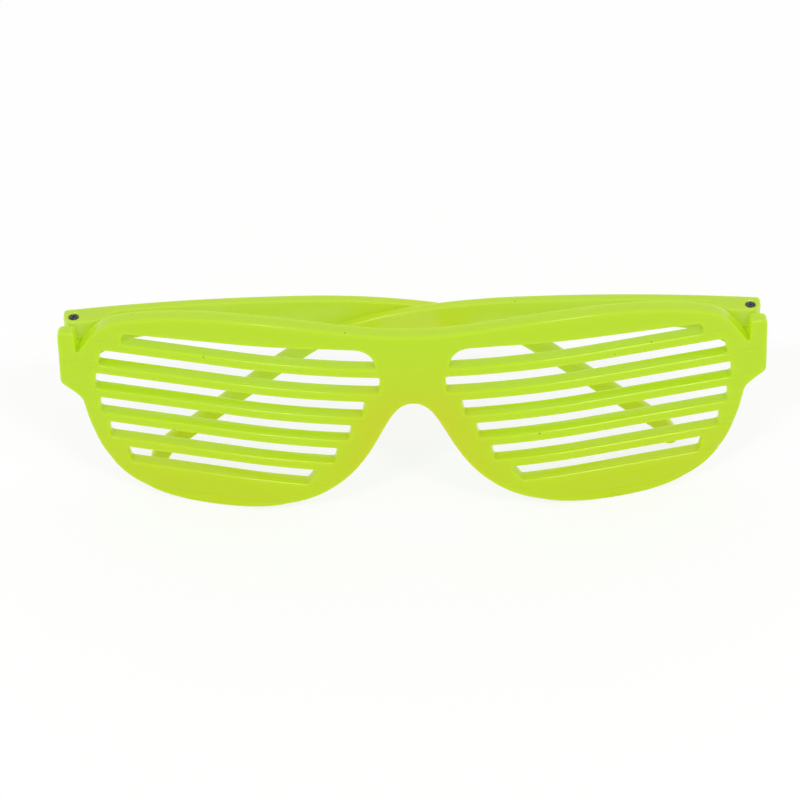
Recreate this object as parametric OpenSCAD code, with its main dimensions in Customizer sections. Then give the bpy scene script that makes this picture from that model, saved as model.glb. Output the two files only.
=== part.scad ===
// Slatted party glasses, folded: a slatted front, two temples and two hinge screws.
// Millimetres. X runs along the front, +Y from the front towards the folded temples, +Z up.
// The origin is the middle of the bridge's thickness at the top of the nose arch.
// Left and right are the wearer's, so the left temple is at +X.

/* [Front moulding] */
// Thickness of the front, from its face to its back
front_t = 3.2; // [2.6:0.1:4]
// Radius of the bow of the front's middle, seen from above
bow_r = 160; // [130:5:220]
// Sweep of the straight wings on either side of the bow, in degrees
wing_sweep = 13.2; // [10:0.2:16]
// Height of the brow's dip over the nose, above the nose arch
dip_z = 17.4; // [15.5:0.1:18.5]
// Height of each brow crest, above the nose arch
brow_z = 19.1; // [17:0.1:21]
// Distance of each brow crest from the middle
brow_x = 28.3; // [20:0.1:32]
// Height of the brow where it starts to fall to the end piece
shoulder_z = 14.5; // [13.5:0.1:16]
// Distance of that point from the middle
shoulder_x = 59.8; // [57:0.1:61]
// Depth of the lowest point of each rim, below the nose arch
rim_drop = 31.5; // [28:0.5:36]
// Distance of that point from the middle
rim_x = 43; // [38:0.5:46]
// Distance of the outermost point of each rim from the middle
rim_out_x = 68.2; // [67.6:0.1:69]
// Depth of that point below the nose arch
rim_out_drop = 7.8; // [7:0.1:10]

/* [End pieces] */
// Distance of the inner side of each end piece from the middle
end_in_x = 68.6; // [68:0.1:69.2]
// Distance of the outer side of each end piece from the middle
end_out_x = 72.6; // [71.8:0.1:75]
// Height of the top of the end pieces, above the nose arch
end_top_z = 10; // [8.8:0.1:10.3]
// Depth of the bottom corner of the end pieces, below the nose arch
end_drop = 3.4; // [2:0.1:5]
// Height of the bottom of the notch between brow and end piece
notch_z = 4.6; // [3:0.1:5.4]
// Rounding of the end piece's outer corners
end_round = 1.3; // [0.5:0.1:1.8]
// Rounding of the end piece's inner corner
end_in_round = 0.7; // [0.2:0.1:1]
// Rounding of the bottom of the notch between brow and end piece
notch_round = 0.25; // [0.1:0.05:0.3]

/* [Slats] */
// Number of slats in each lens
slat_count = 5; // [3:1:5]
// Distance from one slat to the next
slat_pitch = 6.39; // [6:0.05:6.6]
// Height of one slat
slat_h = 2.26; // [1.6:0.02:3]
// Height of the top of the first slat, above the nose arch
slat_top_z = 9.1; // [8.6:0.1:9.4]
// Height of the first slot's upper edge beside the nose
slot_top_in_z = 13.9; // [13:0.1:14.8]
// Height of the first slot's upper edge near the end piece
slot_top_out_z = 11.9; // [11.6:0.1:13]
// Rounding of the slots' corners
slot_round = 0.6; // [0.2:0.1:1]
// Rounding of the first slot's corner beside the nose
slot_nose_round = 4; // [2:0.5:5]
// Rounding of the first slot's upper corner near the end piece
slot_end_round = 1.7; // [0.6:0.1:1.8]

/* [Hinges] */
// Distance of each hinge axis from the middle
pin_x = 69; // [68.2:0.1:69.4]
// Radius of the hinge knuckles
knuckle_r = 1.9; // [1.7:0.05:2.2]
// Gap between moving faces of a hinge
hinge_gap = 0.3; // [0.2:0.05:0.4]
// Height of the top of the temples, above the nose arch
temple_top_z = 10.4; // [10:0.1:11.4]
// Height of the temple's upper hinge leaf
upper_leaf_h = 4.2; // [3.6:0.1:4.6]
// Height of the front's hinge lug
lug_h = 2.6; // [2.2:0.1:3]
// Height of the temple's lower hinge leaf
lower_leaf_h = 1.8; // [1.4:0.1:2.2]

/* [Screws] */
// Radius of the screw's shank
shank_r = 0.7; // [0.5:0.05:0.9]
// Clearance of the shank in the temple's leaves, on the radius
running_gap = 0.05; // [0.02:0.01:0.09]
// Clearance of the shank in the front's lug, on the radius
thread_gap = 0.02; // [0.01:0.01:0.04]
// Radius of the screw's head
head_r = 1.07; // [1:0.01:1.25]
// Height of the screw's head
head_h = 0.8; // [0.6:0.05:1.1]
// Clearance round and under the head
head_gap = 0.08; // [0.05:0.01:0.12]
// Depth of the head's top below the temple's top
head_sink = 0.1; // [0:0.05:0.3]
// Height of the screw's tip above the lower leaf's underside
tip_up = 0.5; // [0.2:0.1:1]
// Width of the arms of the cross recess
cross_w = 0.32; // [0.2:0.02:0.4]
// Length of the arms of the cross recess, from end to end
cross_l = 1.4; // [1:0.05:1.6]
// Depth of the cross recess
cross_d = 0.45; // [0.2:0.05:0.5]

/* [Temples] */
// Thickness of a temple
arm_t = 2; // [1.6:0.05:2.05]
// Distance of a temple's outer face from the hinge axis
arm_back = 2.55; // [2.2:0.05:2.6]
// Length of the hinge end's curve, seen from above
flare_l = 42; // [30:1:50]
// Radius of that curve
flare_r = 340; // [300:1:420]
// Length from the hinge axis to where a temple's top starts to fall
arm_l = 46; // [42:0.5:50]
// Radius of the first, slow part of that fall
arm_r = 150; // [120:5:180]
// Fall at the end of that part, in degrees
arm_fall = 10; // [8:0.5:12]
// Length of the thick block at a temple's hinge end, from the hinge axis
block_l = 3.2; // [2.6:0.1:4]
// Length from the hinge axis over which that block narrows to the temple's thickness
block_end = 9.5; // [7:0.5:14]
// Length from the hinge axis at which the underside starts to rise
taper_start = 4.5; // [3:0.1:8]
// Length from the hinge axis to the underside's level place before the ear bend
waist_l = 56.5; // [50:0.1:60]
// Depth of that place below the temple's top
waist_h = 7.9; // [5:0.1:8.5]
// Radius of the ear bend's upper edge
ear_r = 57.7; // [50:0.1:66]
// Fall of the ear end, in degrees
ear_fall = 40.6; // [36:0.2:43]
// Width of the ear end across its own line
ear_w = 3.65; // [3:0.05:4.4]
// Radius of the curve at the tip
tip_r = 11; // [8:0.5:20]
// Turn of the curve at the tip, in degrees
tip_turn = 30; // [10:1:32]
// Turn of the left temple towards the front when folded, in degrees
left_tuck = 1.26; // [1.24:0.02:1.6]
// Turn of the right temple away from the front when folded, in degrees
right_lift = 0.66; // [0.64:0.02:1.1]

/* [Hidden] */
plastic = [0.73, 0.88, 0.24];
screw_black = [0.08, 0.08, 0.1];
$fn = 96;
// Overlap that joins two shapes of one moulding, and by which a cut runs past a face
eps = 0.6;
// Steps of a long curve, a short curve and a small corner
long_steps = 20;
short_steps = 10;
corner_steps = 4;

// Heights of the hinge's levels
upper_leaf_z = temple_top_z - upper_leaf_h;
lug_top_z = upper_leaf_z - hinge_gap;
lug_z = lug_top_z - lug_h;
lower_leaf_top_z = lug_z - hinge_gap;
lower_leaf_z = lower_leaf_top_z - lower_leaf_h;

// Centre of the bow, and where the bow meets the wings
bow_c = [0, bow_r - front_t / 2];
wing_start = bow_r * sin(wing_sweep);
wing_l = (end_out_x - wing_start) / cos(wing_sweep) + front_t;
// Place of the back of a wing at a distance x from the middle
function wing_back_y(x) = bow_c[1] - bow_r * cos(wing_sweep)
    + (x - wing_start) * tan(wing_sweep) + front_t / cos(wing_sweep);
pin_y = wing_back_y(pin_x) + (knuckle_r + hinge_gap) / cos(wing_sweep);
// Flat back of the end piece, which an open temple's end comes to rest near
stop_y = pin_y - knuckle_r - hinge_gap - 0.1;
function end_back_y(x) = min(wing_back_y(x), stop_y);

// Length of the ear end's straight part, so that its tip stands level with the rims' lowest points
arm_c = [arm_l, temple_top_z - arm_r];
bend_c = arm_c + (arm_r - ear_r) * [sin(arm_fall), cos(arm_fall)];
ear_l = (bend_c[1] + (ear_r - ear_w / 2) * cos(ear_fall)
    - tip_r * (cos(ear_fall) - cos(ear_fall + tip_turn)) + rim_drop - ear_w / 2) / sin(ear_fall);

// Points of a cubic curve from a to d with handles b and c, without the first point
function curve(a, b, c, d, steps) = [
    for (i = [1 : steps]) let (t = i / steps, u = 1 - t)
        u * u * u * a + 3 * u * u * t * b + 3 * u * t * t * c + t * t * t * d
];
// Points of an arc about a centre, from one angle to another
function arc(centre, r, from, to, steps) = [
    for (i = [0 : steps]) let (g = from + (to - from) * i / steps) centre + r * [cos(g), sin(g)]
];
function unit(v) = v / norm(v);
// Points of a corner at b between a and c, rounded to radius r
function corner(a, b, c, r) = let (
        u = unit(a - b),
        v = unit(c - b),
        half = acos(u * v) / 2,
        reach = r / tan(half),
        centre = b + unit(u + v) * r / sin(half),
        from = b + u * reach - centre,
        to = b + v * reach - centre,
        turn = 180 - 2 * half,
        way = from[0] * to[1] - from[1] * to[0] > 0 ? 1 : -1
    ) [
        for (i = [0 : corner_steps]) let (g = way * turn * i / corner_steps)
            centre + [from[0] * cos(g) - from[1] * sin(g), from[0] * sin(g) + from[1] * cos(g)]
    ];
function last(points) = points[len(points) - 1];
function rounded(points, radii) = let (n = len(points)) [
    for (i = [0 : n - 1])
        each corner(points[(i + n - 1) % n], points[i], points[(i + 1) % n], radii[i])
];

// Outline of one half of the front, as [x, z], from the dip over the nose round to the nose arch
dip = [0, dip_z];
brow = [brow_x, brow_z];
shoulder = [shoulder_x, shoulder_z];
shoulder_way = unit([1, -0.36]);
notch = [end_in_x, notch_z];
notch_way = unit([1, -1.78]);
end_top_in = [end_in_x, end_top_z];
end_top_out = [end_out_x - 0.5, end_top_z];
end_low = [end_out_x, -end_drop];
rim_out = [rim_out_x, -rim_out_drop];
rim_out_way = unit([-0.15, -1]);
end_foot_way = unit([-1.1, -0.9]);
rim_low = [rim_x, -rim_drop];
arch_top = [0, 0];
brow_fall = curve(shoulder, shoulder + 3.3 * shoulder_way, notch - 6.7 * notch_way, notch, long_steps);
end_turn = corner(end_top_out, end_low, end_low + 3 * end_foot_way, end_round);
half_outline = concat(
    [dip],
    curve(dip, dip + [10.4, 0], brow - [10.4, 0], brow, short_steps),
    curve(brow, brow + [9.5, 0], shoulder - 11.4 * shoulder_way, shoulder, long_steps),
    [for (i = [0 : long_steps - 3]) brow_fall[i]],
    corner(notch - notch_way, notch, end_top_in, notch_round),
    corner(notch, end_top_in, end_top_out, end_in_round),
    corner(end_top_in, end_top_out, end_low, end_round),
    end_turn,
    curve(last(end_turn), last(end_turn) + 2.2 * end_foot_way, rim_out - 1.6 * rim_out_way, rim_out,
        short_steps),
    curve(rim_out, rim_out + 16.5 * rim_out_way, rim_low + [17.1, 0], rim_low, long_steps),
    curve(rim_low, rim_low - [38.3, 0], arch_top + [9.2, 0], arch_top, long_steps)
);

// Ends of the slots: [height, distance from the middle]
slot_in_edge = [[-23.8, 22.8], [-18.9, 20.1], [-17.3, 16.7], [-12.2, 15.5], [-10.8, 13.5],
    [-5.9, 12.5], [-4.4, 10.6], [0.5, 9.6], [2, 6.9], [7, 6.5]];
slot_out_edge = [[-23.2, 59.2], [-18.2, 60.1], [-16.4, 63.2], [-11.7, 63.2], [-10, 64.8],
    [-5.4, 64.5], [-3.7, 65.3], [0.7, 64.9], [2.5, 64.3], [7, 63.2]];
// Length of the level part of the first slot's upper edge, and the first slot's ends
slot_level_x = 17;
top_slot_in_x = 7.2;
top_slot_out_x = 58.8;

// Slot k of one lens, as [x, z]; slot 0 lies over the first slat
module slot(k) {
    low = slat_top_z - k * slat_pitch;
    high = low + slat_pitch - slat_h;
    if (k == 0)
        polygon(rounded(
            [[top_slot_in_x, low], [top_slot_in_x + 1.2, slot_top_in_z], [slot_level_x, slot_top_in_z],
                [top_slot_out_x, slot_top_out_z], [top_slot_out_x, low]],
            [slot_round, slot_nose_round, slot_round, slot_end_round, slot_round]
        ));
    else
        polygon(rounded(
            [[lookup(low, slot_in_edge), low], [lookup(high, slot_in_edge), high],
                [lookup(high, slot_out_edge), high], [lookup(low, slot_out_edge), low]],
            [for (i = [0 : 3]) slot_round]
        ));
}

module both_sides() {
    children();
    mirror([1, 0, 0]) children();
}

// Half of the front at +X seen from the front, as [x, z]
module face_view() {
    difference() {
        polygon(half_outline);
        for (k = [0 : slat_count]) slot(k);
    }
}

// The front seen from above: the bow and the wing at +X
module plan_view() {
    far = 2 * bow_r;
    difference() {
        translate(bow_c) {
            intersection() {
                difference() {
                    circle(r = bow_r, $fn = 360);
                    circle(r = bow_r - front_t, $fn = 360);
                }
                polygon([[0, 0], [-far * sin(wing_sweep), -far * cos(wing_sweep)],
                    [far * sin(wing_sweep), -far * cos(wing_sweep)]]);
            }
            rotate(wing_sweep) translate([0, -bow_r]) square([wing_l, front_t]);
        }
        translate([pin_x - knuckle_r, stop_y]) square(wing_l);
    }
}

// Hinge lug behind the end piece at +X, seen from above
module lug_plan() {
    root_out_x = end_out_x - end_round;
    translate([pin_x, pin_y]) circle(r = knuckle_r);
    polygon([
        [pin_x - knuckle_r, pin_y],
        [end_in_x, end_back_y(end_in_x) - eps],
        [root_out_x, end_back_y(root_out_x) - eps],
        [pin_x + knuckle_r, pin_y]
    ]);
}

module front_half() {
    reach = 2 * (rim_drop + brow_z);
    intersection() {
        translate([0, 0, -rim_drop - eps]) linear_extrude(rim_drop + brow_z + 2 * eps) plan_view();
        translate([0, reach / 2, 0]) rotate([90, 0, 0]) linear_extrude(reach) face_view();
    }
    translate([0, 0, lug_z]) linear_extrude(lug_h) lug_plan();
}

module front_frame() {
    color(plastic) difference() {
        both_sides() front_half();
        both_sides() translate([pin_x, pin_y, lug_z - eps])
            cylinder(r = shank_r + thread_gap, h = lug_h + 2 * eps);
    }
}

// Temple seen from above, from its hinge end along the outer face and back along the inner one
arm_y = arm_back + flare_r - sqrt(flare_r * flare_r - flare_l * flare_l);
arm_end = -2.15;
arm_far = 2 * arm_r;
block_in = knuckle_r - 0.1;
function bar_y(s, r) = arm_y - flare_r + sqrt(r * r - pow(max(flare_l - s, 0), 2));
// Place of the inner face, which runs from the block's inner side over to the bar
function inner_y(s) = let (
        t = min(max((block_end - s) / (block_end - block_l), 0), 1),
        share = t * t * (3 - 2 * t)
    ) bar_y(s, flare_r - arm_t) * (1 - share) - block_in * share;
function between(from, to, steps) = [for (i = [0 : steps]) from + (to - from) * i / steps];
arm_contour = concat(
    [for (s = between(arm_end, flare_l, long_steps)) [s, bar_y(s, flare_r)]],
    [[arm_far, arm_y], [arm_far, arm_y - arm_t]],
    [for (s = between(flare_l, block_end, short_steps)) [s, inner_y(s)]],
    [for (s = between(block_end - 0.5, block_l, short_steps)) [s, inner_y(s)]],
    [[0, -block_in], [arm_end, 0]]
);

// Temple seen from the side, as [x, z], from its hinge end over the ear bend to the tip and back
fall_way = [cos(ear_fall), -sin(ear_fall)];
fall_out = [sin(ear_fall), cos(ear_fall)];
bend_low = [waist_l, temple_top_z - waist_h];
bend_end = bend_c + (ear_r - ear_w) * fall_out;
hinge_low = [taper_start, lower_leaf_z];
tip_c = bend_c + (ear_r - ear_w / 2 - tip_r) * fall_out + ear_l * fall_way;
tip_from = 90 - ear_fall;
tip_to = tip_from - tip_turn;
arm_outline = concat(
    [[-2 * knuckle_r, lower_leaf_z], [-2 * knuckle_r, temple_top_z]],
    arc(arm_c, arm_r, 90, 91 - arm_fall, short_steps),
    arc(bend_c, ear_r, 90 - arm_fall, tip_from, long_steps),
    arc(tip_c, tip_r + ear_w / 2, tip_from, tip_to, short_steps),
    arc(tip_c + tip_r * [cos(tip_to), sin(tip_to)], ear_w / 2, tip_to, tip_to - 180, long_steps),
    arc(tip_c, tip_r - ear_w / 2, tip_to, tip_from, short_steps),
    [bend_end],
    curve(bend_end, bend_end - 27.4 * fall_way, bend_low + [21, 0], bend_low, long_steps),
    curve(bend_low, bend_low - [18, 0.8], hinge_low + [16, 4.5], hinge_low, short_steps)
);

// Temple with its hinge axis on Z and its arm along +X
module temple() {
    reach = 4 * flare_l;
    slot_l = knuckle_r + hinge_gap;
    difference() {
        union() {
            intersection() {
                translate([0, 0, -arm_r]) linear_extrude(2 * arm_r) polygon(arm_contour);
                translate([0, reach / 2, 0]) rotate([90, 0, 0]) linear_extrude(reach) polygon(arm_outline);
            }
            translate([0, 0, lower_leaf_z])
                cylinder(r = knuckle_r, h = temple_top_z - lower_leaf_z);
        }
        translate([-slot_l - eps, -reach / 2, lower_leaf_top_z])
            cube([2 * slot_l + eps, reach, lug_h + 2 * hinge_gap]);
        translate([0, 0, lower_leaf_z - eps])
            cylinder(r = shank_r + running_gap, h = temple_top_z - lower_leaf_z + 2 * eps);
        translate([0, 0, temple_top_z - head_sink - head_h - head_gap])
            cylinder(r = head_r + head_gap, h = head_h + head_sink + head_gap + eps);
    }
}

module screw() {
    head_top = temple_top_z - head_sink;
    shank_z = lower_leaf_z + tip_up;
    difference() {
        union() {
            translate([0, 0, head_top - head_h]) cylinder(r = head_r, h = head_h);
            translate([0, 0, shank_z]) cylinder(r = shank_r, h = head_top - head_h / 2 - shank_z);
        }
        for (turn = [0, 90])
            rotate(turn) translate([-cross_l / 2, -cross_w / 2, head_top - cross_d])
                cube([cross_l, cross_w, cross_d + eps]);
    }
}

module left_temple() {
    color(plastic) mirror([1, 0, 0]) translate([-pin_x, pin_y, 0]) rotate(-left_tuck) temple();
}

module right_temple() {
    color(plastic) translate([-pin_x, pin_y, 0]) rotate(right_lift) temple();
}

module left_hinge_screw() {
    color(screw_black) translate([pin_x, pin_y, 0]) screw();
}

module right_hinge_screw() {
    color(screw_black) translate([-pin_x, pin_y, 0]) screw();
}

front_frame();
left_temple();
right_temple();
left_hinge_screw();
right_hinge_screw();
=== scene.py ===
# %% [markdown]
# # Slatted party glasses, folded
#
# A pair of bright plastic party glasses, with five slats in place of each lens, lies folded on a
# white table. The imported CAD model fixes every size and place, and this script dresses it: each
# piece is made again with rounded edges, raised lines and a plastic or metal finish, in the same
# frame and on the same hinges.
#
# The first cell loads the CAD model and keeps only its meshes, set in their world places.
# The frame is in metres, with +X to the wearer's left, +Y towards the folded temples and +Z up.
# Its origin is the top of the nose arch.

from math import acos, cos, pi, radians, sin, tan

import bmesh
import bpy
import numpy as np
from mathutils import Matrix, Vector
from mathutils.geometry import delaunay_2d_cdt


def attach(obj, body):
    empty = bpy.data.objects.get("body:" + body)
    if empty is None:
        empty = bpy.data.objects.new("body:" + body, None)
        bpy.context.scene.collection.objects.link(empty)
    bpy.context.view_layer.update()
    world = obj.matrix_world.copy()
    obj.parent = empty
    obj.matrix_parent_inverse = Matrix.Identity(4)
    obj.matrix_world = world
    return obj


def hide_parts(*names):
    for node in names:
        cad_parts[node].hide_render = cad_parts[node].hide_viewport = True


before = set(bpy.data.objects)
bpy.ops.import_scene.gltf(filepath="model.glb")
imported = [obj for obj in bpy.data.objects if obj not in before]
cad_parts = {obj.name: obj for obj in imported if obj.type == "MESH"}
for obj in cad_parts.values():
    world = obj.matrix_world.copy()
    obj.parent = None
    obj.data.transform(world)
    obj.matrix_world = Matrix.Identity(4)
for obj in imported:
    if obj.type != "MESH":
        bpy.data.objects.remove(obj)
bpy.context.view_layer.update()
MM = 0.001

# %% [markdown]
# ## The camera
#
# The photograph was taken with a long lens from in front and well above, with a slight roll. The
# camera is placed on a line of sight through a target in the middle of the glasses. Its distance,
# lens and roll were fitted to the photograph, and a small shift keeps the glasses where they stand
# in its frame.

# %% Place the camera
VIEW_TURN = radians(0.666)
VIEW_RISE = radians(41)
VIEW_ROLL = radians(1.486)
VIEW_DISTANCE = 620 * MM
VIEW_TARGET = Vector((0, 6.4, -8.8)) * MM
FOCAL_PIXELS = 3014.8
IMAGE_PIXELS = 800
SHIFT_PIXELS = (-13.8, 11.5)
SENSOR_WIDTH = 36
NEAREST_SEEN = 0.01

towards_camera = Vector(
    (
        sin(VIEW_TURN) * cos(VIEW_RISE),
        -cos(VIEW_TURN) * cos(VIEW_RISE),
        sin(VIEW_RISE),
    )
)
level_right = Vector((cos(VIEW_TURN), sin(VIEW_TURN), 0))
level_up = towards_camera.cross(level_right)
camera_right = cos(VIEW_ROLL) * level_right - sin(VIEW_ROLL) * level_up
camera_up = sin(VIEW_ROLL) * level_right + cos(VIEW_ROLL) * level_up

camera_data = bpy.data.cameras.new("camera")
camera_data.sensor_width = SENSOR_WIDTH
camera_data.lens = FOCAL_PIXELS / IMAGE_PIXELS * SENSOR_WIDTH
camera_data.shift_x = SHIFT_PIXELS[0] / IMAGE_PIXELS
camera_data.shift_y = SHIFT_PIXELS[1] / IMAGE_PIXELS
camera_data.clip_start = NEAREST_SEEN
camera = bpy.data.objects.new("camera", camera_data)
bpy.context.scene.collection.objects.link(camera)
turn = Matrix((camera_right, camera_up, towards_camera)).transposed().to_4x4()
camera.matrix_world = (
    Matrix.Translation(VIEW_TARGET + VIEW_DISTANCE * towards_camera) @ turn
)
bpy.context.scene.camera = camera
print(f"lens {camera_data.lens:.1f} mm at {VIEW_DISTANCE:.3f} m")

# %% [markdown]
# ## Node trees as sums
#
# Both the shapes and the finishes are made with node trees. A formula reads better as a formula, so
# a small class wraps the output of a node, and Python's own operators add the Math nodes. Every
# other node comes from one method, which takes the node's type, its settings and what goes into its
# sockets.


# %% Work with the output of a node
class Value:
    """The output of a node, as a number that Python's operators work on."""

    def __init__(self, tree, socket):
        self.tree = tree
        self.socket = socket

    def math(self, operation, *others):
        return self.tree.math(operation, self, *others)

    def __add__(self, other):
        return self.math("ADD", other)

    __radd__ = __add__

    def __sub__(self, other):
        return self.math("SUBTRACT", other)

    def __rsub__(self, other):
        return self.tree.math("SUBTRACT", other, self)

    def __mul__(self, other):
        return self.math("MULTIPLY", other)

    __rmul__ = __mul__

    def __truediv__(self, other):
        return self.math("DIVIDE", other)

    def __abs__(self):
        return self.math("ABSOLUTE")


print("made: Value, which takes + - * / and abs")


# %% Add nodes to a tree
class Tree:
    """A node tree and the one way in which this file adds nodes to it."""

    def __init__(self, group):
        self.group = group

    def add(self, kind, settings=None, values=None, output=0):
        node = self.group.nodes.new(kind)
        for name, setting in (settings or {}).items():
            setattr(node, name, setting)
        for name, value in (values or {}).items():
            if isinstance(value, Value):
                self.group.links.new(value.socket, node.inputs[name])
            else:
                node.inputs[name].default_value = value
        return Value(self, node.outputs[output]) if node.outputs else node

    def math(self, operation, *values):
        return self.add(
            "ShaderNodeMath", {"operation": operation}, dict(enumerate(values))
        )

    def rise(self, value, start, end):
        """0 before start, 1 after end, and a smooth climb between them."""
        settings = {"interpolation_type": "SMOOTHSTEP"}
        values = {"Value": value, "From Min": start, "From Max": end}
        return self.add("ShaderNodeMapRange", settings, values)


print("made: Tree, with add, math and rise")


# %% [markdown]
# ## Geometry Nodes trees
#
# A tree that shapes a mesh has the same frame each time: a mesh comes in with some named sizes, its
# points move by a rule, and the result is made real and gets its finish. The piece keeps only the
# plain mesh that comes out.


# %% Set up a tree that moves points
def shaping_tree(name, sizes, rule, material):
    """A tree with a float input for each size, whose points go where rule says."""
    group = bpy.data.node_groups.new(name, "GeometryNodeTree")
    face = group.interface
    face.new_socket("Geometry", in_out="INPUT", socket_type="NodeSocketGeometry")
    face.new_socket("Geometry", in_out="OUTPUT", socket_type="NodeSocketGeometry")
    for size in sizes:
        face.new_socket(size, in_out="INPUT", socket_type="NodeSocketFloat")
    tree = Tree(group)
    entry = group.nodes.new("NodeGroupInput")
    given = {size: Value(tree, entry.outputs[size]) for size in sizes}
    place = tree.add("GeometryNodeInputPosition")
    split = tree.add("ShaderNodeSeparateXYZ", values={"Vector": place}).socket.node
    x, y, z = (Value(tree, split.outputs[axis]) for axis in "XYZ")
    new_x, new_y, new_z = rule(tree, x, y, z, given)
    values = {"X": new_x, "Y": new_y, "Z": new_z}
    moved = tree.add("ShaderNodeCombineXYZ", values=values)
    shaped = tree.add(
        "GeometryNodeSetPosition",
        values={"Geometry": Value(tree, entry.outputs["Geometry"]), "Position": moved},
    )
    real = tree.add("GeometryNodeRealizeInstances", values={"Geometry": shaped})
    finished = tree.add(
        "GeometryNodeSetMaterial", values={"Geometry": real, "Material": material}
    )
    leave = group.nodes.new("NodeGroupOutput")
    group.links.new(finished.socket, leave.inputs["Geometry"])
    return group


print("made: shaping_tree")


# %% Send a piece through a tree
def keep_result(piece, modifier):
    """Puts what the modifier makes of the piece in place of its mesh."""
    graph = bpy.context.evaluated_depsgraph_get()
    made = bpy.data.meshes.new_from_object(piece.evaluated_get(graph))
    piece.modifiers.remove(modifier)
    old, piece.data = piece.data, made
    bpy.data.meshes.remove(old)
    made.name = piece.name


def send_through(piece, group, sizes):
    """Runs a piece through a tree with these sizes, and keeps the plain mesh."""
    modifier = piece.modifiers.new(group.name, "NODES")
    modifier.node_group = group
    for item in group.interface.items_tree:
        if item.in_out == "INPUT" and item.name in sizes:
            modifier[item.identifier] = float(sizes[item.name])
    keep_result(piece, modifier)


print("made: keep_result and send_through")


# %% [markdown]
# ## The yellow-green plastic
#
# The glasses are moulded from a fluorescent plastic. It has a gloss and lets a little light in.
# A glow of its own colour is painted into it as well, so that faces in shade look nearly as bright
# as the rest, and the thin temples get a little more of this painted glow than the front. The
# colour turns slightly warmer low on the rims and round the nose arch. Close to, the gloss has the
# faint waviness of a mould, and a few dark specks lie in the plastic.
#
# The patterns read Object coordinates, so they stay on a piece when it turns on its hinge. Painted
# light makes the colour slightly paler on the faces of the front that look up and on those of the
# temples that look forward when folded, since those faces lie in shade. The attribute that says
# where they are is measured from the finished mesh further down.


# %% Choose the colours
def srgb(red, green, blue):
    """A colour as a picture shows it, 0 to 255, in the numbers that a shader takes."""
    shown = [channel / 255 for channel in (red, green, blue)]
    return [
        c / 12.92 if c <= 0.04045 else ((c + 0.055) / 1.055) ** 2.4 for c in shown
    ] + [1]


# Each second colour is painted light: a paler copy of the lime for faces that lie in shade.
THICK, THICK_PAINTED_LIGHT = srgb(148, 177, 2), srgb(149, 177, 30)
THIN, THIN_PAINTED_LIGHT = srgb(141, 166, 36), srgb(146, 170, 45)
WARM = srgb(158, 168, 2)
SPECK = srgb(95, 105, 30)
print("front plastic:", np.round(THICK, 3))


# %% Share the steps of a material
def new_material(name):
    material = bpy.data.materials.new(name)
    material.use_nodes = True
    material.node_tree.nodes.clear()
    return material, Tree(material.node_tree)


def mix_colours(tree, amount, first, second):
    settings = {"data_type": "RGBA"}
    return tree.add("ShaderNodeMix", settings, {0: amount, 6: first, 7: second}, 2)


def noise(tree, place, scale, detail):
    values = {"Vector": place, "Scale": scale, "Detail": detail}
    return tree.add("ShaderNodeTexNoise", values=values)


def attribute(tree, name):
    return tree.add("ShaderNodeAttribute", {"attribute_name": name}, output="Fac")


def finish_with(tree, surface):
    output = tree.group.nodes.new("ShaderNodeOutputMaterial")
    tree.group.links.new(surface.socket, output.inputs["Surface"])


def millimetres(tree):
    """Object coordinates in millimetres, their height and their distance from the middle."""
    coordinates = tree.add("ShaderNodeTexCoord", output="Object")
    values = {"Vector": coordinates, "Scale": [1 / MM] * 3}
    place = tree.add("ShaderNodeMapping", values=values)
    split = tree.add("ShaderNodeSeparateXYZ", values={"Vector": place}).socket.node
    return place, Value(tree, split.outputs["Z"]), abs(Value(tree, split.outputs["X"]))


print(f"patterns are drawn in steps of {MM} m")

# %% Colour the plastic
LOW_FADE, NOSE_FADE_UP, NOSE_FADE_ASIDE = (-30.0, -4.0), (-8.0, 16.0), (4.0, 22.0)
LOW_WARMTH, NOSE_WARMTH = 0.5, 0.9
CLOUD_SCALE, SPECK_SCALE, SPECK_EDGE, SPECK_SHARE = 0.05, 0.2, (0.032, 0.046), 0.75


def plastic_colour(tree, place, height, aside, lime, painted_light):
    """The lime with painted light on its faces in shade, its warmer places and its specks."""
    low = 1 - tree.rise(height, *LOW_FADE)
    near_nose = 1 - tree.rise(aside, *NOSE_FADE_ASIDE)
    near_nose = near_nose * (1 - tree.rise(height, *NOSE_FADE_UP))
    cloud = noise(tree, place, CLOUD_SCALE, 2.0)
    warmth = (LOW_WARMTH * low + NOSE_WARMTH * near_nose) * (0.6 + 0.8 * cloud)
    # Painted light: faces in shade take a paler copy of the lime.
    colour = mix_colours(tree, attribute(tree, "painted_light_share"), lime, painted_light)
    colour = mix_colours(tree, warmth.math("MINIMUM", 1.0), colour, WARM)
    values = {"Vector": place, "Scale": SPECK_SCALE, "Randomness": 1.0}
    cells = tree.add("ShaderNodeTexVoronoi", values=values, output="Distance")
    speck = 1 - tree.rise(cells, *SPECK_EDGE)
    return mix_colours(tree, SPECK_SHARE * speck, colour, SPECK)


print(f"cells that may hold a speck: {1 / SPECK_SCALE:.0f} mm wide")

# %% Make the plastic
WAVE_SCALE, GRAIN_SCALE, BUMP_STRENGTH, BUMP_DEPTH = 0.35, 6.0, 0.04, 0.2 * MM
# Emission strengths of a painted glow that keeps faces in shade bright.
THICK_PAINTED_GLOW, THIN_PAINTED_GLOW = 0.6, 0.8


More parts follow.
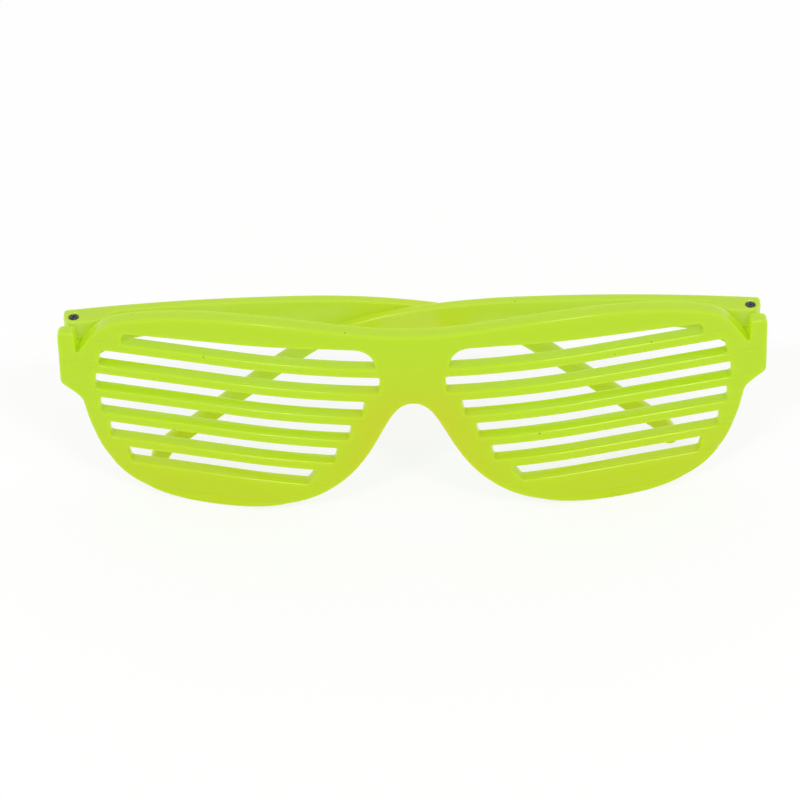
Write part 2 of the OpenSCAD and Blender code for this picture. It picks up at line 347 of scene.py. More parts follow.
def make_plastic(name, lime, painted_light, painted_glow):
    material, tree = new_material(name)
    place, height, aside = millimetres(tree)
    colour = plastic_colour(tree, place, height, aside, lime, painted_light)
    wave = noise(tree, place, WAVE_SCALE, 3.0)
    grain = noise(tree, place, GRAIN_SCALE, 2.0)
    bump = tree.add(
        "ShaderNodeBump",
        values={
            "Strength": BUMP_STRENGTH,
            "Distance": BUMP_DEPTH,
            "Height": 0.85 * wave + 0.15 * grain,
        },
    )
    surface = tree.add(
        "ShaderNodeBsdfPrincipled",
        values={
            "Base Color": colour,
            "Roughness": 0.12 + 0.06 * grain,
            "IOR": 1.45,
            "Subsurface Weight": 0.45,
            "Subsurface Radius": (1.0, 1.0, 0.3),
            "Subsurface Scale": 3 * MM,
            # Painted glow: the plastic gives out its own colour, so faces in shade stay bright.
            "Emission Color": colour,
            "Emission Strength": painted_glow,
            "Normal": bump,
        },
    )
    finish_with(tree, surface)
    return material


thick_plastic = make_plastic("thick_plastic", THICK, THICK_PAINTED_LIGHT, THICK_PAINTED_GLOW)
thin_plastic = make_plastic("thin_plastic", THIN, THIN_PAINTED_LIGHT, THIN_PAINTED_GLOW)
print("plastic:", len(thick_plastic.node_tree.nodes), "nodes each")

# %% [markdown]
# ## The black screws
#
# Each hinge turns on a small steel screw with a black finish. Along the edges of the head and of
# the cross that the screwdriver bites into, it turns a lighter grey in patches: partly wear of the
# thin finish, and partly a painted highlight for the glints on those edges.

# %% Make the screw's finish
BLACK = srgb(12, 13, 14)
# The lighter grey of the edges: partly worn finish, partly painted highlight.
RUBBED_AND_GLINT = srgb(176, 178, 180)
SCRATCH_SCALE, SCRATCH_EDGE = 5.0, (0.35, 0.65)

black_steel, tree = new_material("black_steel")
scratches = noise(tree, millimetres(tree)[0], SCRATCH_SCALE, 4.0)
# Patches along sharp edges, partly worn finish and partly painted glints.
rubbed_and_glint = attribute(tree, "edge") * tree.rise(scratches, *SCRATCH_EDGE)
surface = tree.add(
    "ShaderNodeBsdfPrincipled",
    values={
        "Base Color": mix_colours(tree, rubbed_and_glint, BLACK, RUBBED_AND_GLINT),
        "Metallic": 0.1 + 0.7 * rubbed_and_glint,
        "Roughness": 0.28 + 0.2 * scratches,
    },
)
finish_with(tree, surface)
print("screw finish:", len(black_steel.node_tree.nodes), "nodes")

# %% [markdown]
# ## Drawing outlines
#
# Every moulding here starts as a flat outline, drawn in millimetres with the same curves and
# rounded corners as the CAD model. These helpers give the points of a cubic curve, an arc, and a
# corner of a given radius, and split long sides so that the outline can bend later.


# %% Draw curves and arcs
def curve(a, b, c, d, steps=16):
    """A cubic curve from a to d with handles b and c, without its first point."""
    a, b, c, d = map(np.asarray, (a, b, c, d))
    return [
        (1 - t) ** 3 * a + 3 * (1 - t) ** 2 * t * b + 3 * (1 - t) * t * t * c + t**3 * d
        for t in (i / steps for i in range(1, steps + 1))
    ]


def arc(centre, radius, start, end, steps=16):
    """An arc about a centre, from one angle to another, in degrees."""
    angles = np.radians(np.linspace(start, end, steps + 1))
    return [np.array(centre) + radius * np.array((cos(g), sin(g))) for g in angles]


print("a half circle:", len(arc((0, 0), 1, 0, 180)), "points")

# %% Round corners and split sides
DOUBLED = 1e-6


def unit(vector):
    vector = np.asarray(vector, float)
    return vector / np.linalg.norm(vector)


def corner(a, b, c, radius, steps=5):
    """The corner at b, between a and c, rounded to a radius."""
    b = np.asarray(b, float)
    u, v = unit(np.asarray(a) - b), unit(np.asarray(c) - b)
    half = acos(float(u @ v)) / 2
    reach = radius / tan(half)
    centre = b + unit(u + v) * radius / sin(half)
    first, last = b + u * reach - centre, b + v * reach - centre
    sweep = pi - 2 * half
    way = 1 if first[0] * last[1] - first[1] * last[0] > 0 else -1
    points = []
    for i in range(steps + 1):
        g = way * sweep * i / steps
        across = np.array((-first[1], first[0]))
        points.append(centre + first * cos(g) + across * sin(g))
    return points


def rounded(points, radii):
    """A closed outline with each of its corners rounded."""
    count = len(points)
    outline = []
    for i in range(count):
        outline += corner(
            points[i - 1], points[i], points[(i + 1) % count], radii[i]
        )
    return outline


def spaced(loop, gap):
    """The loop without doubled points, and with no side longer than gap."""
    points = []
    for here, there in zip(loop, loop[1:] + loop[:1]):
        length = np.linalg.norm(there - here)
        if length > DOUBLED:
            parts = max(1, int(np.ceil(length / gap)))
            points += [here + (there - here) * i / parts for i in range(parts)]
    return np.array(points)


print("a rounded corner:", len(corner((0, 1), (0, 0), (1, 0), 0.3)), "points")


# %% [markdown]
# ## From an outline to a moulding
#
# A moulded plate has flat faces and rounded edges. One way is to extrude the outline and bevel it,
# but a bevel round so many small corners leaves uneven shading. Here each outline is drawn again a
# little further in for each step of the rounding, which gives even rings of faces. The flat faces
# are then filled with triangles between the innermost rings and a grid of points, so that there is
# something to bend.


# %% Measure and move loops
BATCH = 64


def turned(loop, left):
    """The loop with its material on the left: outlines run one way, holes the other."""
    x, y = loop[:, 0], loop[:, 1]
    area = (x * np.roll(y, -1) - np.roll(x, -1) * y).sum()
    return loop if (area > 0) == left else loop[::-1]


def inset(loop, amount):
    """The loop moved into the material by an amount."""
    ahead = np.roll(loop, -1, axis=0) - loop
    ahead /= np.linalg.norm(ahead, axis=1)[:, None]
    behind = np.roll(ahead, 1, axis=0)
    left_a = np.stack((-ahead[:, 1], ahead[:, 0]), 1)
    left_b = np.stack((-behind[:, 1], behind[:, 0]), 1)
    scale = 1 + (left_a * left_b).sum(1)
    return loop + amount * (left_a + left_b) / scale[:, None]


def within(points, loops):
    """Which points lie in the material that the loops enclose."""
    crossings = np.zeros(len(points), int)
    for loop in loops:
        (x0, y0), (x1, y1) = loop.T[:, :, None], np.roll(loop, -1, axis=0).T[:, :, None]
        px, py = points.T
        spans = (y0 > py) != (y1 > py)
        with np.errstate(divide="ignore", invalid="ignore"):
            cross = x0 + (py - y0) * (x1 - x0) / (y1 - y0)
        crossings += (spans & (px < cross)).sum(0)
    return crossings % 2 == 1


def clear_of(points, loops, room):
    """Which points keep some room from every loop."""
    clear = np.ones(len(points), bool)
    for loop in loops:
        for start in range(0, len(loop), BATCH):
            near = loop[start : start + BATCH]
            gaps = np.linalg.norm(points[:, None] - near[None], axis=2)
            clear &= (gaps > room).all(1)
    return clear


square = turned(np.array(((0, 0), (4, 0), (4, 4), (0, 4)), float), True)
print("a square of 4, inset by 1:", np.ptp(inset(square, 1), axis=0))


# %% Fill a flat face
GRID_ROOM = 0.35


def fill(bm, rings, level, grid, as_point):
    """Fills a flat face between rings of vertices, with grid points inside it."""
    loops = [ring["flat"].astype(np.float32).astype(float) for ring in rings]
    flat = [point for loop in loops for point in loop]
    verts = [vert for ring in rings for vert in ring["verts"]]
    sides, start = [], 0
    for loop in loops:
        count = len(loop)
        sides += [(start + i, start + (i + 1) % count) for i in range(count)]
        start += count
    if len(grid):
        inner = grid[within(grid, loops)]
        inner = inner[clear_of(inner, loops, GRID_ROOM)]
        flat += list(inner)
        verts += [bm.verts.new(as_point(p[0], p[1], level)) for p in inner]
    made = delaunay_2d_cdt([Vector(p) for p in flat], sides, [], 0, 0)
    corners, triangles, sources = made[0], made[2], made[3]
    places = np.array([tuple(c) for c in corners])
    middles = np.array([places[list(t)].mean(0) for t in triangles])
    for triangle, inside in zip(triangles, within(middles, loops)):
        face = [verts[sources[i][0]] for i in triangle]
        if inside and len(set(face)) == 3:
            bm.faces.new(face)


print("grid points keep", GRID_ROOM, "mm from the edges")


# %% Turn outlines into a rounded plate
ROUND_STEPS, LAST_RING = 4, 0.06


def ring_levels(low, high, r_low, r_high):
    """How far in, and at what level, each ring of a rounded side lies."""
    angles = [pi / 2 * i / ROUND_STEPS for i in range(ROUND_STEPS + 1)]
    levels = [(r_low + LAST_RING, low)]
    levels += [(r_low * (1 - cos(g)), low + r_low * (1 - sin(g))) for g in angles[::-1]]
    levels += [(r_high * (1 - cos(g)), high - r_high * (1 - sin(g))) for g in angles]
    return [*levels, (r_high + LAST_RING, high)]


def plate(bm, outlines, low, high, rounds, as_point, grid=(), hole_rounds=None):
    """A plate from level low to level high, with an outline and holes.

    The rounds are the roundings of its edges at low and at high.
    """
    grid = np.asarray(grid, float)
    ends = {"low": [], "high": []}
    for number, loop in enumerate(outlines):
        loop = turned(loop, number == 0)
        r_low, r_high = rounds if number == 0 else hole_rounds or rounds
        rings = []
        for amount, level in ring_levels(low, high, r_low, r_high):
            flat = inset(loop, amount)
            verts = [bm.verts.new(as_point(p[0], p[1], level)) for p in flat]
            rings.append({"flat": flat, "verts": verts})
        for below, above in zip(rings, rings[1:]):
            lower, upper = below["verts"], above["verts"]
            for i in range(len(lower)):
                j = (i + 1) % len(lower)
                bm.faces.new((lower[i], lower[j], upper[j], upper[i]))
        ends["low"].append(rings[0])
        ends["high"].append(rings[-1])
    fill(bm, ends["low"], low, grid, as_point)
    fill(bm, ends["high"], high, grid, as_point)


print("a rounded side:", len(ring_levels(0, 1, 0.2, 0.2)), "rings")


# %% [markdown]
# ## Finishing a piece
#
# A piece gets outward faces and smooth shading that still breaks at sharp angles, takes the place
# of its CAD node and rides on the same body. The finishes also want to know two things that can be
# measured on the mesh: how sharply the surface bends at a point, for the wear and painted glints on
# the screws, and how squarely it looks a given way, for the painted light on the plastic's shaded
# faces.


# %% Make a piece and measure its mesh
WELD = 1e-7


def new_piece(name, bm):
    bmesh.ops.remove_doubles(bm, verts=bm.verts, dist=WELD)
    bmesh.ops.recalc_face_normals(bm, faces=bm.faces)
    mesh = bpy.data.meshes.new(name)
    bm.to_mesh(mesh)
    bm.free()
    piece = bpy.data.objects.new(name, mesh)
    bpy.context.scene.collection.objects.link(piece)
    return piece


def store(mesh, name, values):
    layer = mesh.attributes.new(name, "FLOAT", "POINT")
    layer.data.foreach_set("value", np.asarray(values, np.float32))


def mark_edges(mesh, full_bend):
    """Stores on each point how far the surface bends outwards there, 1 at full_bend."""
    bm = bmesh.new()
    bm.from_mesh(mesh)
    bends = np.zeros(len(bm.verts))
    for edge in bm.edges:
        if len(edge.link_faces) == 2:
            bend = max(0.0, edge.calc_face_angle_signed(0.0))
            for vert in edge.verts:
                bends[vert.index] = max(bends[vert.index], min(bend / full_bend, 1.0))
    bm.free()
    store(mesh, "edge", bends)


def mark_facing(mesh, way):
    """Stores on each point how squarely the surface looks a way."""
    normals = np.zeros(3 * len(mesh.vertices), np.float32)
    mesh.vertex_normals.foreach_get("vector", normals)
    store(mesh, "painted_light_share", np.clip(normals.reshape(-1, 3) @ np.array(way), 0, 1))


print("points within", WELD, "m of each other are joined")


# %% Carve and finish a piece
SHARP_ANGLE = radians(38)


def carve(piece, bm):
    """Cuts the shape in bm out of a piece, and keeps the plain mesh."""
    cutter = new_piece("cutter", bm)
    cut = piece.modifiers.new("cut", "BOOLEAN")
    cut.operation, cut.solver, cut.object = "DIFFERENCE", "EXACT", cutter
    keep_result(piece, cut)
    bpy.data.objects.remove(cutter)


def finish_piece(piece, material, node, body):
    mesh = piece.data
    mesh.materials.clear()
    mesh.materials.append(material)
    mesh.polygons.foreach_set("material_index", [0] * len(mesh.polygons))
    mesh.shade_smooth()
    mesh.set_sharp_from_angle(angle=SHARP_ANGLE)
    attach(piece, body)
    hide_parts(node)
    print(f"{piece.name}: {len(mesh.polygons)} faces")


print(f"sharp from {np.degrees(SHARP_ANGLE):.0f} degrees")


# %% [markdown]
# ## The front
#
# The front is one plate 3.2 mm thick. Seen from the front it has a brow that dips over the nose and
# falls to a notch at each side, end pieces, round rims, and a nose arch. The half outline below
# runs from the dip over the nose, clockwise, to the nose arch, and is mirrored.

# %% Draw the front's outline
FRONT_T = 3.2
DIP, BROW, SHOULDER = (0, 17.4), (28.3, 19.1), (59.8, 14.5)
NOTCH, END_IN_TOP = (68.6, 4.6), (68.6, 10)
END_OUT_TOP, END_LOW = (72.1, 10), (72.6, -3.4)
RIM_OUT, RIM_LOW, ARCH_TOP = (68.2, -7.8), (43, -31.5), (0, 0)
OUTWARD, INWARD = unit((1, 0)), unit((-1, 0))
SHOULDER_WAY, NOTCH_WAY = unit((1, -0.36)), unit((1, -1.78))
END_FOOT_WAY, RIM_OUT_WAY = unit((-1.1, -0.9)), unit((-0.15, -1))
BROW_HANDLES, WING_HANDLES, NOTCH_HANDLES = (10.4, 10.4), (9.5, 11.4), (3.3, 6.7)
FOOT_HANDLES, RIM_HANDLES, ARCH_HANDLES = (2.2, 1.6), (16.5, 17.1), (38.3, 9.2)
NOTCH_ROUND, END_IN_ROUND, END_PIECE_ROUND = 0.25, 0.7, 1.3
NOTCH_TRIM = 3


def swung(start, way, end, end_way, handles, steps):
    """A curve that leaves start one way and comes to end another way."""
    start, end = np.array(start, float), np.array(end, float)
    leave, come = handles
    return curve(start, start + leave * way, end - come * end_way, end, steps)


def half_front():
    before_notch = np.array(NOTCH) - NOTCH_WAY
    past_foot = np.array(END_LOW) + END_FOOT_WAY
    end_turn = corner(END_OUT_TOP, END_LOW, past_foot, END_PIECE_ROUND)
    foot = end_turn[-1]
    points = [np.array(DIP, float)]
    points += swung(DIP, OUTWARD, BROW, OUTWARD, BROW_HANDLES, 24)
    points += swung(BROW, OUTWARD, SHOULDER, SHOULDER_WAY, WING_HANDLES, 24)
    notch_curve = swung(SHOULDER, SHOULDER_WAY, NOTCH, NOTCH_WAY, NOTCH_HANDLES, 24)
    points += notch_curve[:-NOTCH_TRIM]
    points += corner(before_notch, NOTCH, END_IN_TOP, NOTCH_ROUND)
    points += corner(NOTCH, END_IN_TOP, END_OUT_TOP, END_IN_ROUND)
    points += corner(END_IN_TOP, END_OUT_TOP, END_LOW, END_PIECE_ROUND, 8)
    points += end_turn
    points += swung(foot, END_FOOT_WAY, RIM_OUT, RIM_OUT_WAY, FOOT_HANDLES, 8)
    points += swung(RIM_OUT, RIM_OUT_WAY, RIM_LOW, INWARD, RIM_HANDLES, 40)
    points += swung(RIM_LOW, INWARD, ARCH_TOP, INWARD, ARCH_HANDLES, 56)
    return points


def mirrored(points):
    return [np.array((-p[0], p[1])) for p in reversed(points)]


OUTLINE_GAP = 1.2
half = half_front()
front_outline = spaced(half + mirrored(half)[1:-1], OUTLINE_GAP)
print("front outline:", len(front_outline), "points")

# %% [markdown]
# ## The slots
#
# Five slats leave six slots in each lens. The slots share one pitch, and their ends follow the
# lens's opening, which is given as its distance from the middle at the height of each slot's edges.
# The first slot's upper edge slopes with the brow, and its corner near the end piece is rounded
# off more than the others.

# %% Draw the slots
SLAT_COUNT, SLAT_PITCH, SLAT_H, SLAT_TOP = 5, 6.39, 2.26, 9.1
SLOT_ROUND, NOSE_ROUND, END_SLOT_ROUND = 0.6, 4, 1.7
FIRST_IN_LOW, FIRST_IN_HIGH, FIRST_BEND, FIRST_OUT = 7.2, 8.4, 17, 58.8
FIRST_TOP_IN, FIRST_TOP_OUT = 13.9, 11.9
IN_EDGE = ((-23.8, 22.8), (-18.9, 20.1), (-17.3, 16.7), (-12.2, 15.5), (-10.8, 13.5),
           (-5.9, 12.5), (-4.4, 10.6), (0.5, 9.6), (2, 6.9), (7, 6.5))
OUT_EDGE = ((-23.2, 59.2), (-18.2, 60.1), (-16.4, 63.2), (-11.7, 63.2), (-10, 64.8),
            (-5.4, 64.5), (-3.7, 65.3), (0.7, 64.9), (2.5, 64.3), (7, 63.2))


def reach(edge, height):
    heights, distances = zip(*edge)
    return float(np.interp(height, heights, distances))


def slot_outline(number):
    low = SLAT_TOP - number * SLAT_PITCH
    high = low + SLAT_PITCH - SLAT_H
    if number == 0:
        points = [
            (FIRST_IN_LOW, low),
            (FIRST_IN_HIGH, FIRST_TOP_IN),
            (FIRST_BEND, FIRST_TOP_IN),
            (FIRST_OUT, FIRST_TOP_OUT),
            (FIRST_OUT, low),
        ]
        radii = [SLOT_ROUND, NOSE_ROUND, SLOT_ROUND, END_SLOT_ROUND, SLOT_ROUND]
    else:
        points = [
            (reach(IN_EDGE, low), low),
            (reach(IN_EDGE, high), high),
            (reach(OUT_EDGE, high), high),
            (reach(OUT_EDGE, low), low),
        ]
        radii = [SLOT_ROUND] * 4
    return rounded([np.array(p, float) for p in points], radii)


slots = []
for number in range(SLAT_COUNT + 1):
    one = slot_outline(number)
    slots += [spaced(one, OUTLINE_GAP), spaced(mirrored(one), OUTLINE_GAP)]
print("slots:", len(slots))

# %% [markdown]
# ## Where the hinges are
#
# Each hinge screw stands upright just behind the back of a wing. The back of each end piece is flat
# from there outwards, so that the square end of an open temple finds room behind it.

# %% Work out the hinges' places
BOW_R, WING_SWEEP = 160.0, radians(13.2)
PIN_X, KNUCKLE_R, HINGE_GAP, STOP_GAP = 69.0, 1.9, 0.3, 0.1
SHANK_R, BORE_GAP, RUNNING_GAP = 0.7, 0.02, 0.05
TEMPLE_TOP, UPPER_LEAF, LUG_H, LOWER_LEAF = 10.4, 4.2, 2.6, 1.8
WING_START = BOW_R * sin(WING_SWEEP)


def wing_back(x):
    bow_middle = BOW_R - FRONT_T / 2
    wing = (x - WING_START) * tan(WING_SWEEP)
    return bow_middle - BOW_R * cos(WING_SWEEP) + wing + FRONT_T / cos(WING_SWEEP)


PIN_Y = wing_back(PIN_X) + (KNUCKLE_R + HINGE_GAP) / cos(WING_SWEEP)
STOP_Y = PIN_Y - KNUCKLE_R - HINGE_GAP - STOP_GAP
UPPER_LEAF_Z = TEMPLE_TOP - UPPER_LEAF
LUG_Z = UPPER_LEAF_Z - HINGE_GAP - LUG_H
LOWER_LEAF_TOP = LUG_Z - HINGE_GAP
LOWER_LEAF_Z = LOWER_LEAF_TOP - LOWER_LEAF
print(f"hinge axis at x {PIN_X:.2f}, y {PIN_Y:.2f} mm")

# %% [markdown]
# ## The front's curve and its raised lines
#
# Seen from above, the front is bowed in the middle and runs straight in both wings. It is easiest
# to mould it flat and then move its points by that rule, so a Geometry Nodes tree takes the flat
# plate, finds how far back each point belongs, and puts it there.
#
# The same tree makes the raised lines. Each slat's upper edge goes on across the rim as a fine
# line, because the face below it rounds back and the face above it starts a little deeper. The rule
# repeats with the slats' pitch, fades towards the nose and above the first slat, and only cuts into
# the front, so the front keeps its size.

# %% Write the front's rule as a tree
LINE_ROUND, LINE_STEP, LINE_UP = 0.13, 0.13, 0.06
NOSE_END, ABOVE_FIRST = (10 * MM, 24 * MM), (0.1, 0.7)


def front_rule(tree, x, y, z, size):
    aside = abs(x)
    radius, sweep = size["Bow radius"], size["Wing sweep"]
    thickness, pitch = size["Thickness"], size["Line pitch"]

    def back_from(r, offset):
        start = r * sweep.math("SINE")
        bowed = aside.math("MINIMUM", start)
        dip = r - (r * r - bowed * bowed).math("SQRT")
        wing = (aside - start).math("MAXIMUM", 0.0) * sweep.math("TANGENT")
        return offset + dip + wing

    front = back_from(radius, 0.0)
    back = back_from(radius - thickness, thickness).math("MINIMUM", size["Stop"])
    above = (z - size["First line"]) / pitch
    part = above.math("FLOORED_MODULO", 1.0)
    off_middle = 2.0 * part - 1.0
    rest = 1.0 - part
    depth = size["Line round"] * off_middle * off_middle
    depth = depth + size["Line step"] * rest * rest
    fade = tree.rise(aside, *NOSE_END) * (1.0 - tree.rise(above, *ABOVE_FIRST))
    on_face = y.math("LESS_THAN", 0.5 * thickness)
    deep = y + depth * fade * on_face
    new_y = front + deep / thickness * (back - front) - 0.5 * thickness
    return x, new_y, z


front_sizes = {
    "Bow radius": BOW_R * MM,
    "Wing sweep": WING_SWEEP,
    "Thickness": FRONT_T * MM,
    "Stop": (STOP_Y + FRONT_T / 2) * MM,
    "Line pitch": SLAT_PITCH * MM,
    "First line": (SLAT_TOP + LINE_UP) * MM,
    "Line round": LINE_ROUND * MM,
    "Line step": LINE_STEP * MM,
}
bow_front = shaping_tree("bow_front", front_sizes, front_rule, thick_plastic)
print("front tree:", len(bow_front.nodes), "nodes")

# %% [markdown]
# ## The hinge lugs
#
# Behind each end piece a lug reaches back to the hinge screw. It is part of the front's moulding,
# so it goes into the same mesh, and its root is sunk into the end piece.

# %% Draw a lug from above
LUG_ROOTS, ROOT_SINK, LUG_GAP = (68.6, 71.3), 0.6, 1.0


def circle(centre, radius, steps=40):
    return np.array(arc(centre, radius, 0, 360, steps)[:-1])


def lug_outlines(side):
    outline = arc((PIN_X, PIN_Y), KNUCKLE_R, 0, 180, 24)
    for root in LUG_ROOTS:
        outline.append(np.array((root, min(wing_back(root), STOP_Y) - ROOT_SINK)))
    loops = [spaced(outline, LUG_GAP), circle((PIN_X, PIN_Y), SHANK_R + BORE_GAP)]
    return [np.stack((side * loop[:, 0], loop[:, 1]), 1) for loop in loops]


print("lug outline:", len(lug_outlines(1)[0]), "points")


# %% [markdown]
# ## Making the front
#
# The flat plate needs points for the bow along its length, and rows of points that lie close
# together at each raised line and further apart between the lines.

# %% Make the front
GRID_END, GRID_STEP = 71.5, 1.3
LINE_ROWS = (-0.1, 0.15, 0.6, 1.4, 2.4, 3.4, 4.4, 5.4, 5.9)
FRONT_EDGE, SLOT_EDGE, LUG_EDGE = (0.42, 0.35), (0.42, 0.75), (0.12, 0.12)


def front_grid():
    across = np.arange(-GRID_END, GRID_END + GRID_STEP / 2, GRID_STEP)
    rows = []
    for number in range(-2, SLAT_COUNT + 2):
        line = SLAT_TOP - number * SLAT_PITCH
        rows += [line + up for up in LINE_ROWS]
    return [(x, z) for z in rows for x in across]


def upright(x, z, y):
    return (x * MM, y * MM, z * MM)


def level(x, y, z):
    return (x * MM, y * MM, z * MM)


bm = bmesh.new()
shape = [front_outline, *slots]
plate(bm, shape, 0, FRONT_T, FRONT_EDGE, upright, front_grid(), SLOT_EDGE)
front = new_piece("front", bm)
send_through(front, bow_front, front_sizes)

bm = bmesh.new()
bm.from_mesh(front.data)
for side in (1, -1):
    plate(bm, lug_outlines(side), LUG_Z, LUG_Z + LUG_H, LUG_EDGE, level)
bmesh.ops.recalc_face_normals(bm, faces=bm.faces)
bm.to_mesh(front.data)
bm.free()
# Painted light goes on the front's faces that look up, which lie in shade.
mark_facing(front.data, (0, 0, 1))
finish_piece(front, thick_plastic, "front_frame", "front")

# %% [markdown]
# ## The temples
#
# A temple is a flat bar, 2 mm thick. Seen from the side, its top runs straight from the hinge, and
# then falls slowly at first and quickly over the ear. Its underside narrows behind the hinge. The
# outline below goes once round that side, with the hinge axis at zero.

# %% Size a temple
ARM_T, ARM_BACK, FLARE_L, FLARE_R = 2.0, 2.55, 42.0, 340.0
ARM_L, ARM_R, ARM_FALL = 46.0, 150.0, radians(10)
WAIST_L, WAIST_H, TAPER_START = 56.5, 7.9, 4.5
EAR_R, EAR_FALL, EAR_W = 57.7, radians(40.6), 3.65
TIP_R, TIP_TURN = 11.0, 30.0
RIM_DROP, END_ROUND, TEMPLE_GAP = 31.5, 0.6, 1.5
BLOCK_L, BLOCK_END = 3.2, 9.5
BLOCK_IN = KNUCKLE_R - 0.1
WEB_START = KNUCKLE_R + HINGE_GAP
ARM_END = -2.15
EAR_HANDLES = (27.4, 21)
WAIST_HANDLE, TAPER_HANDLE = (-18, -0.8), (16, 4.5)

fall_way = np.array((cos(EAR_FALL), -sin(EAR_FALL)))
fall_out = np.array((sin(EAR_FALL), cos(EAR_FALL)))
arm_centre = np.array((ARM_L, TEMPLE_TOP - ARM_R))
bend_centre = arm_centre + (ARM_R - EAR_R) * np.array((sin(ARM_FALL), cos(ARM_FALL)))
bend_start = 90 - np.degrees(ARM_FALL)
tip_start = 90 - np.degrees(EAR_FALL)
tip_end = tip_start - TIP_TURN
tip_drop = TIP_R * (cos(EAR_FALL) - cos(EAR_FALL + radians(TIP_TURN)))
ear_start = bend_centre[1] + (EAR_R - EAR_W / 2) * cos(EAR_FALL)
EAR_L = (ear_start - tip_drop + RIM_DROP - EAR_W / 2) / sin(EAR_FALL)
print(f"ear end: {EAR_L:.1f} mm long before its tip")

# %% Draw a temple from the side
PIN_STEP, BLOCK_STEP = 0.15, 0.7

# The outline and the grid share these columns, so that the hinge end can turn round
round_end = [-KNUCKLE_R * cos(pi / 2 * i / 12) for i in range(6, 12)]
hinge_columns = round_end + [PIN_STEP * i for i in range(22)]
hinge_columns += [BLOCK_L + BLOCK_STEP * i for i in range(1, 12)]


def temple_outline():
    bend_low = np.array((WAIST_L, TEMPLE_TOP - WAIST_H))
    bend_end = bend_centre + (EAR_R - EAR_W) * fall_out
    hinge_low = np.array((TAPER_START, LOWER_LEAF_Z))
    tip = bend_centre + (EAR_R - EAR_W / 2 - TIP_R) * fall_out + EAR_L * fall_way
    end_way = np.array((cos(radians(tip_end)), sin(radians(tip_end))))
    low_end, high_end = (ARM_END, LOWER_LEAF_Z), (ARM_END, TEMPLE_TOP)
    points = [np.array((s, LOWER_LEAF_Z)) for s in hinge_columns[::-1] if s < TAPER_START]
    points += corner((0, LOWER_LEAF_Z), low_end, high_end, END_ROUND)
    points += corner(low_end, high_end, (0, TEMPLE_TOP), END_ROUND)
    points += [np.array((s, TEMPLE_TOP)) for s in hinge_columns]
    points += arc(arm_centre, ARM_R, 90, bend_start, 20)
    points += arc(bend_centre, EAR_R, bend_start, tip_start, 30)
    points += arc(tip, TIP_R + EAR_W / 2, tip_start, tip_end, 12)
    points += arc(tip + TIP_R * end_way, EAR_W / 2, tip_end, tip_end - 180, 20)
    points += arc(tip, TIP_R - EAR_W / 2, tip_end, tip_start, 12)
    points.append(bend_end)
    points += swung(bend_end, -fall_way, bend_low, INWARD, EAR_HANDLES, 30)
    points += curve(
        bend_low, bend_low + WAIST_HANDLE, hinge_low + TAPER_HANDLE, hinge_low, 30
    )
    return spaced(points, TEMPLE_GAP)


print("temple outline:", len(temple_outline()), "points")

# %% [markdown]
# ## The temple seen from above
#
# Seen from above, the first 42 mm of a temple curve outwards from the hinge, and the rest is
# straight. At the hinge the bar is thicker: its inner side is the round knuckle and then a block,
# which runs over into the bar within a few millimetres. The same way of working as for the front
# fits here: mould the bar flat and shape it with a rule. The rule moves each rounded edge as it is,
# and stretches only what lies between the two sides.

# %% Write the temple's rule as a tree
def temple_rule(tree, x, y, z, size):
    length, radius = size["Flare length"], size["Flare radius"]
    thickness, knuckle = size["Thickness"], size["Knuckle radius"]
    short = (length - x).math("MAXIMUM", 0.0)

    def fall(r):
        return r - (r * r - short * short).math("SQRT")

    rise = radius - (radius * radius - length * length).math("SQRT")
    outer = size["Back"] + rise - fall(radius)
    bar_inner = size["Back"] + rise - thickness - fall(radius - thickness)
    half = (knuckle * knuckle - x * x).math("MAXIMUM", 0.0).math("SQRT")
    past_pin = x.math("GREATER_THAN", 0.0)
    block = half.math("MAXIMUM", size["Block depth"] * past_pin)
    bar = tree.rise(x, size["Block length"], size["Block end"])
    inner = bar * bar_inner - (1.0 - bar) * block
    far = y.math("GREATER_THAN", 0.5 * thickness)
    return x, inner + y + far * (outer - inner - thickness), z


temple_sizes = {
    "Flare length": FLARE_L * MM,
    "Flare radius": FLARE_R * MM,
    "Thickness": ARM_T * MM,
    "Back": ARM_BACK * MM,
    "Knuckle radius": KNUCKLE_R * MM,
    "Block depth": BLOCK_IN * MM,
    "Block length": BLOCK_L * MM,
    "Block end": BLOCK_END * MM,
}
flare_temple = shaping_tree("flare_temple", temple_sizes, temple_rule, thin_plastic)
print("temple tree:", len(flare_temple.nodes), "nodes")

# %% [markdown]
# ## Cutting the hinge
#
# The temple's end is a fork round the front's lug, with a hole for the screw and a round recess for
# its head. These are cut after the bar has its shape: first the fork's gap with a box, and then the
# hole with its recess, as one profile spun about the hinge axis.

# %% Cut the fork and the screw's hole
HEAD_R, HEAD_H, HEAD_GAP, HEAD_SINK = 1.07, 0.8, 0.08, 0.1
CUT_PAST, RECESS_RIM = 5, 0.1


def box(low, high):
    low, high = np.array(low), np.array(high)
    size = Matrix.Diagonal((*((high - low) * MM), 1))
    middle = Matrix.Translation((low + high) / 2 * MM)
    bm = bmesh.new()
    bmesh.ops.create_cube(bm, size=1, matrix=middle @ size)
    return bm


def spun(profile, steps=48):
    """Spins a profile of (radius, height) points about Z and closes its ends."""
    bm = bmesh.new()
    rings = []
    for radius, height in profile:
        ring = circle((0, 0), radius, steps)
        rings.append([bm.verts.new(level(p[0], p[1], height)) for p in ring])
    for lower, upper in zip(rings, rings[1:]):
        for i in range(steps):
            j = (i + 1) % steps
            bm.faces.new((lower[i], lower[j], upper[j], upper[i]))
    bm.faces.new(rings[0][::-1])
    bm.faces.new(rings[-1])
    return bm


